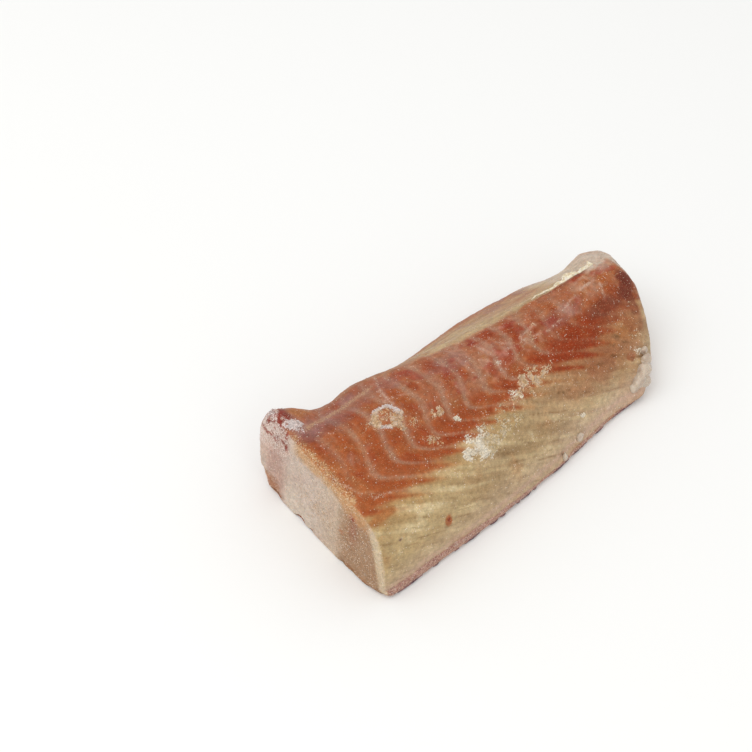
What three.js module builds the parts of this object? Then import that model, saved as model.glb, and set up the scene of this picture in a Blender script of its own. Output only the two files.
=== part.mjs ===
// Frozen saithe loin: one skinned portion of back muscle, saw-cut at its near end and torn
// round at its far end, lying on its flat bone side with the skinned side up.
// Everything is in millimetres.  While the loin is being shaped, x runs along it from the
// saw cut, y runs across it from the thin back edge to the lateral-line side, and z is up
// from the underside.  The last step moves the origin to the middle of the underside.

import * as THREE from 'three';

// ---- driving dimensions ----------------------------------------------------------------

const LENGTH = 130.2;          // saw cut to far end, on the line of the back edge
const THICKNESS = 29.6;        // highest part of the skinned side
const CUT_SLANT = 0.107;       // how far the saw cut runs back for each mm across
const CUT_LEAN = 2.8;          // how far the saw cut's foot stands out in front of its top
const CUT_CORNER_REACH = 4;    // the lean fades in over this much of the width, from the back edge
const CUT_CORNER_START = 1;    // and it starts this far outside that edge
const END_SLANT = 0.12;        // how far the far end runs back for each mm across
const END_CORNER = 17;         // length missing from the far end at the back edge
const END_CORNER_REACH = 7.5;  // how far across that missing corner fades out
const END_ROUND = 8;           // rounding of the far end's rim
const CUT_ROUND = 2.0;         // rounding of the saw cut's rim
const BACK_EDGE_AT_CUT = -0.3; // where the back edge starts, across
const BACK_EDGE_BOW = 2.8;     // how far the back edge bows outwards along its length

const LAYER_HEIGHT = 3.0;      // the thin dark layer under the flesh, seen at the back edge
const LAYER_LEDGE = 0.8;       // how far that layer stands out past the flesh
const LAYER_STEP = 0.5;        // height over which the ledge turns into the back face
const LAYER_LEAN = 0.1;        // how far the layer's top edge is set in from its foot

// The shoulder is where the steep back face turns into the top.  It is steep and tight at
// the saw cut and lies back towards the far end.
const SHOULDER_AT_CUT = { y: 4.4, z: 26.6, round: 0.3 };
const SHOULDER_AT_END = { y: 14.0, z: 24.6, round: 0.5 };
const SHOULDER_LIES_BACK_BY = 0.87; // and is fully laid back at this share of the length
const SHOULDER_TOP_SHARE = 0.7; // its rounding on the top, against that on the back face
const FACE_SWELL_AT_CUT = 0.7; // how far the back face swells out
const FACE_SWELL_AT_END = 1.6;

// The ridge is the left edge of the top, given as [x, y] where it changes direction.  It has
// a lump next to the saw cut with a notch behind it, and then runs slanting to the far end.
const RIDGE_LINE = [[0, 59.2], [13, 58.2], [21, 50.6], [36, 49.6], [62, 41.6], [96, 35.8], [138, 33.0]];
const RIDGE_MIDDLE = 45;       // about where it runs across, for its place along the loin
const RIDGE_HEIGHT = 26.6;
const RIDGE_LIFT_AT_CUT = 5.6; // extra height of the ridge's lump next to the saw cut
const RIDGE_LIFT_REACH = 26;
const RIDGE_ROUND_AT_CUT = 0.3; // share of the side that the ridge's rounding takes up
const RIDGE_ROUND = 0.12;      // the same past the notch
const RIDGE_TOP_SHARE = 0.6;   // its rounding on the top, against that on the side
const NOTCH_PASSED_BY = 0.33;  // share of the length where the notch is left behind
const CROWN_OVER = 0.6;        // the top's swell aims this far over the thickness, for the smoothing
const CROWN_AT_END = 0.45;     // how much of the top's swell is left at the far end

// The foot is the left margin of the underside, [x, y].
const FOOT_LINE = [[0, 55.8], [16, 59.2], [80, 60.2], [108, 57.6], [126, 53.6], [144, 45.0]];
const FOOT_MIDDLE = 58;        // about where it runs across
const FOOT_HEIGHT = 4.4;
const FOOT_TUCK = 2.0;         // how far the underside is set in from the foot
const FOOT_ROUND = 0.12;       // share of the side that the foot's rounding takes up
const SIDE_SWELL_AT_CUT = 0.8; // how far the left side swells out
const SIDE_SWELL = -0.6;       // the cut left side is slightly hollow past the notch

// Muscle segments end in thin sheets of tissue that show as shallow grooves.  Each groove
// crosses the top, bends at the bend line and slants down the back face towards the far end.
const GROOVE = {
  first: 3.9,      // where the first one would cross the bend line without its rounding
  pitch: 7.8,      // from one to the next
  bendY: 18,       // the bend line, across
  bendZ: 26.5,     // and the height where the back face starts
  bendRound: 1.6,  // rounding of the bend
  faceWeight: 0.8, // how much a mm down the back face counts, against one across the top
  topNear: 0.55,   // lengthwise drift for each mm from the bend line towards the ridge
  topReach: 10,    // up to here
  topFar: 0.1,     // and past it
  faceNear: 1.5,   // lengthwise drift for each mm from the bend line down the back face
  faceReach: 23,   // up to here
  faceFar: 2.1,    // and past it
  width: 1.6,
  depth: 0.4,      // on the top
  faceDepth: 0.12, // on the back face
  wander: 0.8,
};
// A lengthwise furrow, the lateral line, runs beside the ridge's lump and ends at the ridge.
const LATERAL_LINE = { y: 44.5, end: 40, fade: 8, width: 2.2, depth: 0.7 };

// Lumps that swell out of the surface, each round a line from one place to another.
const place = (x, y, z) => new THREE.Vector3(x, y, z);
const SWELLINGS = [
  // the knob of pale flesh at the far end of the ridge, and the corner of the top beside it
  { from: place(131.5, 36.5, 17), to: place(136, 33, 16), radius: 7.0, height: 5.0, unevenness: 0.15 },
  { from: place(129.5, 23, 25), to: place(129, 20, 24), radius: 4.5, height: 1.2, unevenness: 0.2 },
  // the ridge's lump at the saw cut, its peak and its flank
  { from: place(9, 55, 30), to: place(13, 53.5, 30), radius: 4.4, height: 2.0, unevenness: 0.2 },
  { from: place(12, 53, 31), to: place(12, 54.5, 31), radius: 1.8, height: 0.6, unevenness: 0.2 },
  { from: place(4, 56.5, 11), to: place(4, 56.5, 25), radius: 4.0, height: 0.9, unevenness: 0.3 },
  // the ridge's shoulder behind the notch
  { from: place(24, 50, 25), to: place(31, 50.5, 24), radius: 4.0, height: 0.7, unevenness: 0.3 },
  { from: place(36, 49.5, 25.5), to: place(37, 49, 25.5), radius: 3.0, height: 0.7, unevenness: 0.3 },
  // a torn tab of the dark layer, and the ice frozen on above it
  { from: place(106, -2, 1.6), to: place(109, -1, 1.6), radius: 3.2, height: 1.2, unevenness: 0.2 },
  { from: place(111, -1.5, 4.2), to: place(114, -0.5, 8), radius: 4.0, height: 2.4, unevenness: 0.25 },
  { from: place(114.5, 0.5, 9), to: place(117.5, 2.5, 12.5), radius: 3.0, height: 1.2, unevenness: 0.3 },
  // the fold of membrane along the far part of the ridge
  { from: place(94, 35.6, 26.6), to: place(120, 33.4, 26.6), radius: 1.5, height: 0.7, unevenness: 0.5 },
];
// Patches of frost that stand out from the skinned side: place along and across, and radius.
const FROST_PATCHES = [
  { x: 29.7, y: 30.1, radius: 4.6, height: 0.5 },
  { x: 46.9, y: 7.9, radius: 5.4, height: 0.8 },
  { x: 57.0, y: 11.0, radius: 3.4, height: 0.4 },
  { x: 66.3, y: 12.4, radius: 3.4, height: 0.5 },
  { x: 77.9, y: 14.6, radius: 4.4, height: 0.6 },
];
const FROST_UNEVENNESS = 0.6;  // share of a patch's height that its grains take up
// The skinned side is what lies above a height, behind the saw cut's rim and turned up or
// to the back edge; the leans are parts of the surface's outward direction.
const SKINNED = { above: 4, fromCut: 3, leftLean: 0.6, topLean: 0.6, fade: 0.3 };
// Unevenness of the frozen surface: size across of the bumps, height, and a seed for each.
const SWELL = { size: 21, height: 0.5, seed: 51 };
const BUMPS = { size: 7, height: 0.3, heightOnCut: 0.12, seed: 52 };
const TORN_END = { size: 8, height: 0.9, reach: 16, seed: 53 };
const WANDER = { size: 9, seed: 31 };
const GRAINS = { size: 2.4, seed: 41 };
const LUMPS = { size: 4.5, seed: 42 };
const RELIEF_FROM = 1.5;       // height over the underside where the relief has its full depth
const LOWEST_FLANK = 0.05;     // everything but the underside stays this high

// ---- mesh density ----------------------------------------------------------------------

const STATIONS_ALONG = 68;
const STATIONS_AT_CUT = [0, 0.0025, 0.007, 0.0125];
const STATIONS_AT_END = [0.945, 0.96, 0.974, 0.986, 0.995, 1];
const SEGMENTS = { layer: 2, ledge: 1, back: 10, shoulder: 5, top: 15, ridge: 3, side: 10, foot: 2, base: 9 };
const SMOOTHING_PASSES = 4;
const CAP_RINGS = 7;

// ---- small helpers ---------------------------------------------------------------------

const mix = (a, b, t) => a + (b - a) * t;
const between = (a, b, t) => ({ y: mix(a.y, b.y, t), z: mix(a.z, b.z, t) });
const bell = (t) => Math.exp(-(t * t));
const ease = (t) => {
  const c = Math.min(1, Math.max(0, t));
  return c * c * (3 - 2 * c);
};

// A smooth curve y(x) through a few [x, y] points, level past its ends.
function through(points, x) {
  const last = points.length - 1;
  if (x <= points[0][0]) return points[0][1];
  if (x >= points[last][0]) return points[last][1];
  const slopeAt = (i) => {
    const a = points[Math.max(0, i - 1)];
    const b = points[Math.min(last, i + 1)];
    return (b[1] - a[1]) / (b[0] - a[0]);
  };
  let i = 0;
  while (x > points[i + 1][0]) i += 1;
  const [x0, y0] = points[i];
  const [x1, y1] = points[i + 1];
  const t = (x - x0) / (x1 - x0);
  const fromStart = y0 + slopeAt(i) * (x - x0);
  const fromEnd = y1 - slopeAt(i + 1) * (x1 - x);
  const chord = mix(y0, y1, t);
  return chord + (1 - t) * (fromStart - chord) + t * (fromEnd - chord);
}

// A number between -1 and 1 for each point of a whole-number lattice, the same on every run.
function latticeValue(i, j, k, seed) {
  let h = Math.imul(i, 374761393) ^ Math.imul(j, 668265263) ^ Math.imul(k, 2147483647);
  h ^= Math.imul(seed, 1274126177);
  h = Math.imul(h ^ (h >>> 13), 1103515245);
  h ^= h >>> 16;
  return ((h >>> 0) / 4294967295) * 2 - 1;
}

// Smooth noise between -1 and 1 with bumps of the given size.
function noise(p, { size, seed }) {
  const scaled = [p.x / size, p.y / size, p.z / size];
  const cell = scaled.map(Math.floor);
  const f = scaled.map((v, n) => ease(v - cell[n]));
  let sum = 0;
  for (let corner = 0; corner < 8; corner += 1) {
    const d = [corner & 1, (corner >> 1) & 1, (corner >> 2) & 1];
    const weight = d.reduce((w, on, n) => w * (on ? f[n] : 1 - f[n]), 1);
    sum += weight * latticeValue(cell[0] + d[0], cell[1] + d[1], cell[2] + d[2], seed);
  }
  return sum;
}

// ---- the loin's two ends ---------------------------------------------------------------

function cutFace(y, z) {
  const lean = CUT_LEAN * (1 - ease(z / THICKNESS));
  return CUT_SLANT * y - lean * (1 - Math.exp(-(y + CUT_CORNER_START) / CUT_CORNER_REACH));
}

function farFace(y) {
  const fromEdge = Math.max(0, y + BACK_EDGE_BOW);
  return LENGTH + END_SLANT * y - END_CORNER * Math.exp(-fromEdge / END_CORNER_REACH);
}

const lengthwise = (u, y, z) => mix(cutFace(y, z), farFace(y), u);

// ---- cross-section ---------------------------------------------------------------------

// Points along a side from a to b, swelling outwards in the middle; b itself is left off.
function side(a, b, count, swell = 0) {
  const length = Math.hypot(b.y - a.y, b.z - a.z);
  const out = { y: -(b.z - a.z) / length, z: (b.y - a.y) / length };
  const points = [];
  for (let i = 0; i < count; i += 1) {
    const t = i / count;
    const away = swell * 4 * t * (1 - t);
    const p = between(a, b, t);
    points.push({ y: p.y + out.y * away, z: p.z + out.z * away });
  }
  return points;
}

// A rounded corner from a to c that bends at b; c itself is left off.
function corner(a, b, c, count) {
  const points = [];
  for (let i = 0; i < count; i += 1) {
    const t = i / count;
    points.push(between(between(a, b, t), between(b, c, t), t));
  }
  return points;
}

// Evens out the joints between the stretches of an open run of points; its ends stay.
function smoothed(points, passes) {
  let run = points;
  for (let pass = 0; pass < passes; pass += 1) {
    const before = run;
    run = before.map((p, i) => {
      if (i === 0 || i === before.length - 1) return p;
      return between(p, between(before[i - 1], before[i + 1], 0.5), 0.5);
    });
  }
  return run;
}

function crossSection(u) {
  const lieBack = ease(u / SHOULDER_LIES_BACK_BY);
  const pastNotch = ease(u / NOTCH_PASSED_BY);
  const edge = BACK_EDGE_AT_CUT - BACK_EDGE_BOW * Math.sin(Math.PI * u);
  const shoulder = between(SHOULDER_AT_CUT, SHOULDER_AT_END, lieBack);
  const shoulderRound = mix(SHOULDER_AT_CUT.round, SHOULDER_AT_END.round, lieBack);
  const ridgeX = lengthwise(u, RIDGE_MIDDLE, RIDGE_HEIGHT);
  const ridgeLift = RIDGE_LIFT_AT_CUT * (1 - ease(ridgeX / RIDGE_LIFT_REACH));
  const ridgeRound = mix(RIDGE_ROUND_AT_CUT, RIDGE_ROUND, pastNotch);
  const footY = through(FOOT_LINE, lengthwise(u, FOOT_MIDDLE, 0));

  const baseRight = { y: edge, z: 0 };
  const layerTop = { y: edge + LAYER_LEAN, z: LAYER_HEIGHT };
  const faceFoot = { y: edge + LAYER_LEDGE, z: LAYER_HEIGHT + LAYER_STEP };
  const ridge = { y: through(RIDGE_LINE, ridgeX), z: RIDGE_HEIGHT + ridgeLift };
  const foot = { y: footY, z: FOOT_HEIGHT };
  const baseLeft = { y: footY - FOOT_TUCK, z: 0 };

  const faceTop = between(shoulder, faceFoot, shoulderRound);
  const topStart = between(shoulder, ridge, shoulderRound * SHOULDER_TOP_SHARE);
  const topEnd = between(ridge, shoulder, ridgeRound * RIDGE_TOP_SHARE);
  const sideStart = between(ridge, foot, ridgeRound);
  const sideEnd = between(foot, sideStart, FOOT_ROUND);
  const crown = (THICKNESS - ridge.z + CROWN_OVER) * mix(1, CROWN_AT_END, ease(u));
  const faceSwell = mix(FACE_SWELL_AT_CUT, FACE_SWELL_AT_END, lieBack);
  const sideSwell = mix(SIDE_SWELL_AT_CUT, SIDE_SWELL, pastNotch);

  const layer = [
    ...side(baseRight, layerTop, SEGMENTS.layer),
    ...side(layerTop, faceFoot, SEGMENTS.ledge),
  ];
  const flesh = [
    ...side(faceFoot, faceTop, SEGMENTS.back, faceSwell),
    ...corner(faceTop, shoulder, topStart, SEGMENTS.shoulder),
    ...side(topStart, topEnd, SEGMENTS.top, crown),
    ...corner(topEnd, ridge, sideStart, SEGMENTS.ridge),
    ...side(sideStart, sideEnd, SEGMENTS.side, sideSwell),
    ...corner(sideEnd, foot, baseLeft, SEGMENTS.foot),
  ];
  return [...layer, ...smoothed(flesh, SMOOTHING_PASSES), ...side(baseLeft, baseRight, SEGMENTS.base)];
}

// ---- loft ------------------------------------------------------------------------------

// The middle of both end faces, and how far the section reaches from it.
const MIDDLE = { y: 28, z: 12 };
const REACH = { y: 32, z: 27 };

// Shrinks a section towards its middle near an end, so that the end's rim is rounded while
// the underside stays flat.
function roundedSection(u) {
  const setIn = (radius, fromEnd) => {
    const inside = Math.max(0, radius - fromEnd);
    return radius - Math.sqrt(radius * radius - inside * inside);
  };
  const shrink = setIn(CUT_ROUND, u * LENGTH) + setIn(END_ROUND, (1 - u) * LENGTH);
  return crossSection(u).map((p) => ({
    y: MIDDLE.y + (p.y - MIDDLE.y) * (1 - shrink / REACH.y),
    z: p.z * (1 - shrink / REACH.z),
  }));
}

// Places of the sections from the saw cut, 0, to the far end, 1; both rims get more of them.
function stationPlaces() {
  const start = STATIONS_AT_CUT[STATIONS_AT_CUT.length - 1];
  const end = STATIONS_AT_END[0];
  const inner = [];
  for (let i = 1; i < STATIONS_ALONG; i += 1) inner.push(mix(start, end, i / STATIONS_ALONG));
  return [...STATIONS_AT_CUT, ...inner, ...STATIONS_AT_END];
}

const sectionRing = (u) => roundedSection(u).map((p) => place(lengthwise(u, p.y, p.z), p.y, p.z));

// Rings that shrink from an end's rim towards the middle of its face.
function capRings(rim, face) {
  const rings = [];
  for (let n = 1; n < CAP_RINGS; n += 1) {
    rings.push(rim.map((p) => {
      const q = between(p, MIDDLE, n / CAP_RINGS);
      return place(face(q.y, q.z), q.y, q.z);
    }));
  }
  return rings;
}

// ---- surface detail --------------------------------------------------------------------

// How far a value lies over a start, turning smoothly.
function softOver(value, start) {
  const away = value - start;
  return 0.5 * (away + Math.hypot(away, GROOVE.bendRound));
}

// Drift that has one rate up to a reach and another past it.
const drift = (away, near, reach, far) => near * Math.min(away, reach) + far * Math.max(0, away - reach);

// How far along the row of grooves a point lies; whole numbers are on a groove.
function groovePhase(p) {
  const up = softOver(p.y, GROOVE.bendY);
  const down = softOver(-p.y, -GROOVE.bendY) + GROOVE.faceWeight * Math.max(0, GROOVE.bendZ - p.z);
  const overTop = drift(up, GROOVE.topNear, GROOVE.topReach, GROOVE.topFar);
  const downFace = drift(down, GROOVE.faceNear, GROOVE.faceReach, GROOVE.faceFar);
  return (p.x - GROOVE.first - overTop - downFace + GROOVE.wander * noise(p, WANDER)) / GROOVE.pitch;
}

function grooves(p, out) {
  const onTop = ease((out.z - SKINNED.topLean) / SKINNED.fade);
  const phase = groovePhase(p);
  const away = Math.abs(phase - Math.round(phase)) * GROOVE.pitch;
  return mix(GROOVE.faceDepth, GROOVE.depth, onTop) * bell(away / GROOVE.width);
}

function lateralLine(p) {
  const away = (p.y - LATERAL_LINE.y) / LATERAL_LINE.width;
  return LATERAL_LINE.depth * bell(away) * ease((LATERAL_LINE.end - p.x) / LATERAL_LINE.fade);
}

function frost(p) {
  return FROST_PATCHES.reduce((sum, patch) => {
    const away = Math.hypot(p.x - patch.x, p.y - patch.y) / patch.radius;
    return sum + patch.height * bell(away) * (1 + FROST_UNEVENNESS * noise(p, GRAINS));
  }, 0);
}

function swellings(p) {
  return SWELLINGS.reduce((sum, lump) => {
    const nearest = new THREE.Line3(lump.from, lump.to).closestPointToPoint(p, true, place(0, 0, 0));
    const uneven = 1 + lump.unevenness * noise(p, LUMPS);
    return sum + lump.height * bell(p.distanceTo(nearest) / lump.radius) * uneven;
  }, 0);
}

// Height of the surface detail at a point, outwards from the smooth form.
function relief(p, out) {
  const fromCut = p.x - cutFace(p.y, p.z);
  const awayFromCut = ease(fromCut / SKINNED.fromCut);
  const facing = ease((SKINNED.leftLean - out.y) / SKINNED.fade);
  const skinned = ease((p.z - SKINNED.above) / SKINNED.above) * facing * awayFromCut;
  const bumps = mix(BUMPS.heightOnCut, BUMPS.height, awayFromCut) * noise(p, BUMPS);
  const torn = TORN_END.height * ease((p.x - LENGTH) / TORN_END.reach + 1) * noise(p, TORN_END);
  const onSkinnedSide = frost(p) - grooves(p, out) - lateralLine(p);
  return skinned * onSkinnedSide + swellings(p) + SWELL.height * noise(p, SWELL) + bumps + torn;
}

// Moves the rings' points along the surface's normal; the underside stays flat.
function withRelief(rings) {
  const count = rings[0].length;
  const last = rings.length - 1;
  return rings.map((ring, i) => ring.map((p, j) => {
    if (p.z <= 0) return p.clone();
    const along = rings[Math.min(last, i + 1)][j].clone().sub(rings[Math.max(0, i - 1)][j]);
    const around = ring[(j + 1) % count].clone().sub(ring[(j + count - 1) % count]);
    const out = along.cross(around).normalize();
    const moved = p.clone().addScaledVector(out, relief(p, out) * ease(p.z / RELIEF_FROM));
    moved.z = Math.max(LOWEST_FLANK, moved.z);
    return moved;
  }));
}

// ---- the solid -------------------------------------------------------------------------

const average = (points) => points.reduce((sum, p) => sum.add(p), place(0, 0, 0)).divideScalar(points.length);

function loinGeometry() {
  const sections = stationPlaces().map(sectionRing);
  const nearCap = capRings(sections[0], cutFace).reverse();
  const farCap = capRings(sections[sections.length - 1], farFace);
  const rings = withRelief([...nearCap, ...sections, ...farCap]);
  const count = rings[0].length;
  const index = [];
  for (let i = 0; i + 1 < rings.length; i += 1) {
    for (let j = 0; j < count; j += 1) {
      const a = i * count + j;
      const b = i * count + ((j + 1) % count);
      index.push(a, a + count, b);
      index.push(b, a + count, b + count);
    }
  }
  const nearPole = rings.length * count;
  const farPole = nearPole + 1;
  const lastRing = (rings.length - 1) * count;
  for (let j = 0; j < count; j += 1) {
    const next = (j + 1) % count;
    index.push(nearPole, j, next);
    index.push(farPole, lastRing + next, lastRing + j);
  }
  const points = [...rings.flat(), average(rings[0]), average(rings[rings.length - 1])];
  const geometry = new THREE.BufferGeometry().setFromPoints(points);
  geometry.setIndex(index);
  geometry.computeBoundingBox();
  const middle = geometry.boundingBox.getCenter(place(0, 0, 0));
  geometry.translate(-middle.x, -middle.y, 0);
  geometry.computeVertexNormals();
  return geometry;
}

const flesh = new THREE.MeshStandardMaterial({ color: 0xb06a44, roughness: 0.5, metalness: 0 });
const loin = new THREE.Mesh(loinGeometry(), flesh);
loin.name = 'loin';

const group = new THREE.Group();
group.add(loin);
export default group;
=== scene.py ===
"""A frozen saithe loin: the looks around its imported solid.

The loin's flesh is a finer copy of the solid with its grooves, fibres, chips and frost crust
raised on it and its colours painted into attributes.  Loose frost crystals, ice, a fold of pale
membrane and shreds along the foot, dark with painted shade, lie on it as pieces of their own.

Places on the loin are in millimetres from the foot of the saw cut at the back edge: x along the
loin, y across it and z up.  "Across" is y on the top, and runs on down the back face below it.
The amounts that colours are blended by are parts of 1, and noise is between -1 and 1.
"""
import math
import random

import bmesh
import bpy
import numpy as np
from bpy.props import FloatProperty, FloatVectorProperty, IntProperty, PointerProperty
from mathutils import Matrix, Vector
from mathutils.bvhtree import BVHTree


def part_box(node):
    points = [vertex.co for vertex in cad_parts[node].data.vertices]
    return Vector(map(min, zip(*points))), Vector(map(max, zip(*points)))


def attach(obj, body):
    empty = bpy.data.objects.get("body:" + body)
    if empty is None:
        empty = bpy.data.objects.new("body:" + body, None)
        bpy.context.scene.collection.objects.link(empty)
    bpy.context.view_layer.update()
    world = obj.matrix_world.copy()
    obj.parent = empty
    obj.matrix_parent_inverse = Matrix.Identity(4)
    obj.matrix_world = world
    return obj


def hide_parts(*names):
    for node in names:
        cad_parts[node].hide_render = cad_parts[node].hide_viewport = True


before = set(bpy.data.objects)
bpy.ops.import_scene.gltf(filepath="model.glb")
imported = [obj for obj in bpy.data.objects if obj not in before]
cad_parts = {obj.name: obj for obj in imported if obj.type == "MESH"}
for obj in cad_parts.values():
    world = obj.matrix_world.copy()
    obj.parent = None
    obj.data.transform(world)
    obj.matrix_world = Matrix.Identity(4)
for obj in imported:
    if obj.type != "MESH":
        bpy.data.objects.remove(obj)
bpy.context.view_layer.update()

bl_info = {
    "name": "Frozen saithe loin",
    "version": (1, 0, 0),
    "blender": (4, 5, 0),
    "location": "3D View > Sidebar > Saithe loin",
    "description": "Dresses the packed solid of a frozen saithe loin and sets its stage",
    "category": "Add Mesh",
}

MM = 0.001
LOW, HIGH = (Vector(corner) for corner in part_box("loin"))
FOOT_INSET = (1.669, 3.442)      # the foot of the saw cut, from the box's low corner
THICKNESS = 29.6                 # highest part of the top
CUT_SLANT = 0.107                # how far the saw cut runs back for each mm across
CUT_LEAN = 2.8                   # how far its foot stands out in front of its top
SHOULDER_Z = 26.5                # where the back face turns into the top
LATERAL_Y = 44.5                 # the lateral line, across
RIDGE_LINE = [(0, 59.2), (13, 58.2), (21, 50.6), (36, 49.6), (62, 41.6), (96, 35.8), (138, 33.0)]
FOLD_LINE = [(90, 36.6), (104, 35.3), (110.6, 33.9), (114.6, 33.2), (119, 32.8), (124, 32.2)]
EVEN_LIGHT = 1.03                # light that a white surface on the loin would send back
GLOSS_LIGHT = 0.018              # light that the gloss adds
FLESH_RANGE = (0.004, 0.92)      # darkest and lightest that the flesh may be
FOOT = Vector((LOW.x + FOOT_INSET[0] * MM, LOW.y + FOOT_INSET[1] * MM, 0))


# ---- what a user would change ----------------------------------------------------------------

def tone(name, red, green, blue, what):
    """A colour as it is seen, given by parts of 255."""
    return FloatVectorProperty(
        name=name, description=what, subtype="COLOR_GAMMA", size=3, min=0, max=1,
        default=(red / 255, green / 255, blue / 255))


def length(name, value, what):
    """A size given in millimetres."""
    return FloatProperty(
        name=name, description=what, default=value * MM, min=0, unit="LENGTH", subtype="DISTANCE")


class LoinTones(bpy.types.PropertyGroup):
    """Colours of the flesh, the skin that is left on it, the frost and the ice."""
    beige: tone("Beige", 188, 163, 121, "Flesh of the back face near the saw cut")
    beige_mid: tone("Beige, middle", 170, 144, 110, "Flesh of the back face half way along")
    beige_far: tone("Beige, far", 174, 147, 115, "Flesh of the back face towards the far end")
    beige_low: tone("Beige, low", 191, 167, 138, "Flesh at the foot of the back face")
    fibre_dark: tone("Dark fibre", 138, 110, 78, "Thin lines along the fibres")
    olive_dark: tone("Dark marks", 98, 72, 50, "Short dark marks near the far end")
    fibre_light: tone("Light fibre", 208, 187, 146, "Pale lines along the fibres")
    milky: tone("Milky", 226, 208, 168, "Palest patches of the back face")
    olive: tone("Olive", 178, 148, 104, "Flesh of the back face beside the red muscle")
    orange: tone("Orange", 172, 112, 70, "Where the red muscle fades into the beige")
    rust: tone("Rust", 163, 90, 56, "Red muscle under the skin")
    deep: tone("Deep red", 146, 66, 44, "Darkest red muscle")
    wine: tone("Wine", 150, 60, 48, "Dark patches of red muscle beside the ridge")
    rosy: tone("Rosy", 169, 116, 90, "Palest red muscle")
    brown: tone("Brown", 146, 88, 64, "Red muscle at the far end")
    brown_halo: tone("Brown halo", 164, 114, 83, "Stained flesh below the red muscle of the far end")
    septum: tone("Septum", 188, 150, 122, "Pale grains in the sheets between the segments")
    septum_grey: tone("Grey septum", 172, 132, 110, "The sheets between the segments")
    mauve: tone("Mauve", 153, 112, 108, "Remains of skin beside the ridge")
    violet: tone("Violet", 122, 74, 68, "Darker remains of skin")
    ochre: tone("Ochre", 190, 138, 92, "Frosted rim behind the saw cut")
    cream: tone("Cream", 218, 180, 136, "Bright grains of that rim and of stained frost")
    frost: tone("Frost", 240, 228, 206, "White frost")
    frost_tan: tone("Tan frost", 222, 188, 146, "Frost stained by the flesh")
    haze: tone("Haze", 214, 190, 146, "Thin yellowish frost")
    # Crystal: also the colour of the painted glints on the flesh.
    crystal: tone("Crystal", 244, 232, 218, "Clean frost crystals")
    rime: tone("Rime", 228, 212, 206, "Pinkish frost on the saw cut and the lump beside it")
    membrane: tone("Membrane", 208, 188, 154, "Fold of pale membrane along the ridge")
    # Bruise: real bruised flesh, and also the painted shadow line under the fold of membrane.
    pale_rim: tone("Pale rim", 202, 184, 167, "Pale flesh of the far rim and knob")
    bruise_and_fold_shadow: tone("Bruise", 116, 64, 54, "Dark bruised flesh")
    strip: tone("Left side", 186, 158, 120, "Flesh of the left side")
    rust_line: tone("Rusty line", 165, 108, 76, "Foot of the left side")
    brown_left: tone("Brown left side", 157, 104, 82, "Flesh of the left side near the saw cut")
    layer: tone("Layer", 160, 114, 104, "The thin layer under the flesh")
    # Dark layer: a real dark spot on the back face, and painted shade along the foot of the layer and on
    # the shreds there.
    dark_spots_and_foot_shade: tone("Dark layer", 84, 58, 68, "Dark spots of that layer")
    pink: tone("Pink", 206, 172, 156, "Veins and pale pink flesh")
    cut: tone("Saw cut", 199, 180, 166, "Sawn flesh")
    cut_low: tone("Saw cut, low", 206, 190, 174, "Sawn flesh near the underside")
    tan: tone("Tan", 161, 127, 99, "Translucent part of the sawn flesh")
    blood: tone("Blood", 132, 52, 44, "Spots of blood")
    cut_blotch: tone("Blotch", 174, 134, 122, "Pink blotches of the sawn flesh")
    ice: tone("Ice", 224, 208, 188, "Clear ice with a little flesh in it")


class LoinSizes(bpy.types.PropertyGroup):
    """Heights of the relief and sizes of the crystals."""
    uneven: length("Unevenness", 0.15, "Height of the small bumps all over")
    grain: length("Grain", 0.09, "Height of the frozen grain all over")
    knobs: length("Knobs", 0.55, "Height of the bumps along the ridge and at the far end")
    frost_crust: length("Frost crust", 0.45, "Height of the frost patches")
    septum_depth: length("Septum", 0.12, "Depth of the sheets between the segments")
    fibre_depth: length("Fibre", 0.07, "Depth of the thin lines on the back face")
    chips: length("Chips", 1.1, "Depth of the chips along the foot of the saw cut")
    crystal: length("Crystal", 0.14, "Typical radius of a loose frost crystal")
    crystals: IntProperty(
        name="Crystals", description="How many loose frost crystals", default=14000, min=0)


class StageSettings(bpy.types.PropertyGroup):
    """Floor, light and camera."""
    floor: tone("Floor", 246, 246, 244, "Plain pale floor")
    sky: FloatProperty(name="Sky", description="Strength of the even light", default=0.85, min=0)
    key: FloatProperty(
        name="Key", description="Power of the large soft light", default=2.4, min=0, unit="POWER")
    fill: FloatProperty(
        name="Fill", description="Power of the front fill", default=0.6, min=0, unit="POWER")
    lens: FloatProperty(name="Lens", description="Camera lens", default=72.2, min=1, unit="CAMERA")
    elevation: FloatProperty(
        name="Elevation", description="Camera height above the floor line", default=math.radians(47),
        subtype="ANGLE")
    azimuth: FloatProperty(
        name="Azimuth", description="Camera turn from square on to the back edge",
        default=math.radians(44.88), subtype="ANGLE")
    distance: length("Distance", 484.9, "Camera from the point that it looks at")


# ---- numbers over the surface ----------------------------------------------------------------

def lattice_value(i, j, k, seed):
    """A number between -1 and 1 for each point of a whole-number lattice."""
    i, j, k = (np.asarray(v).astype(np.int64).astype(np.uint32) for v in (i, j, k))
    h = i * np.uint32(374761393) ^ j * np.uint32(668265263) ^ k * np.uint32(2147483647)
    h = h ^ np.uint32((seed * 1274126177) & 0xFFFFFFFF)
    h = (h ^ (h >> np.uint32(13))) * np.uint32(1103515245)
    h = h ^ (h >> np.uint32(16))
    return h.astype(np.float64) / 0xFFFFFFFF * 2 - 1


def ease(t):
    c = np.clip(t, 0, 1)
    return c * c * (3 - 2 * c)


def noise(p, size, seed):
    """Smooth noise between -1 and 1 with bumps of the given size."""
    scaled = p / np.asarray(size, float)
    cell = np.floor(scaled)
    f = ease(scaled - cell)
    total = 0.0
    for corner in range(8):
        step = (corner & 1, corner >> 1 & 1, corner >> 2 & 1)
        weight = 1.0
        for n, on in enumerate(step):
            weight = weight * (f[:, n] if on else 1 - f[:, n])
        total = total + weight * lattice_value(*(cell[:, n] + step[n] for n in range(3)), seed)
    return total


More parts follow.
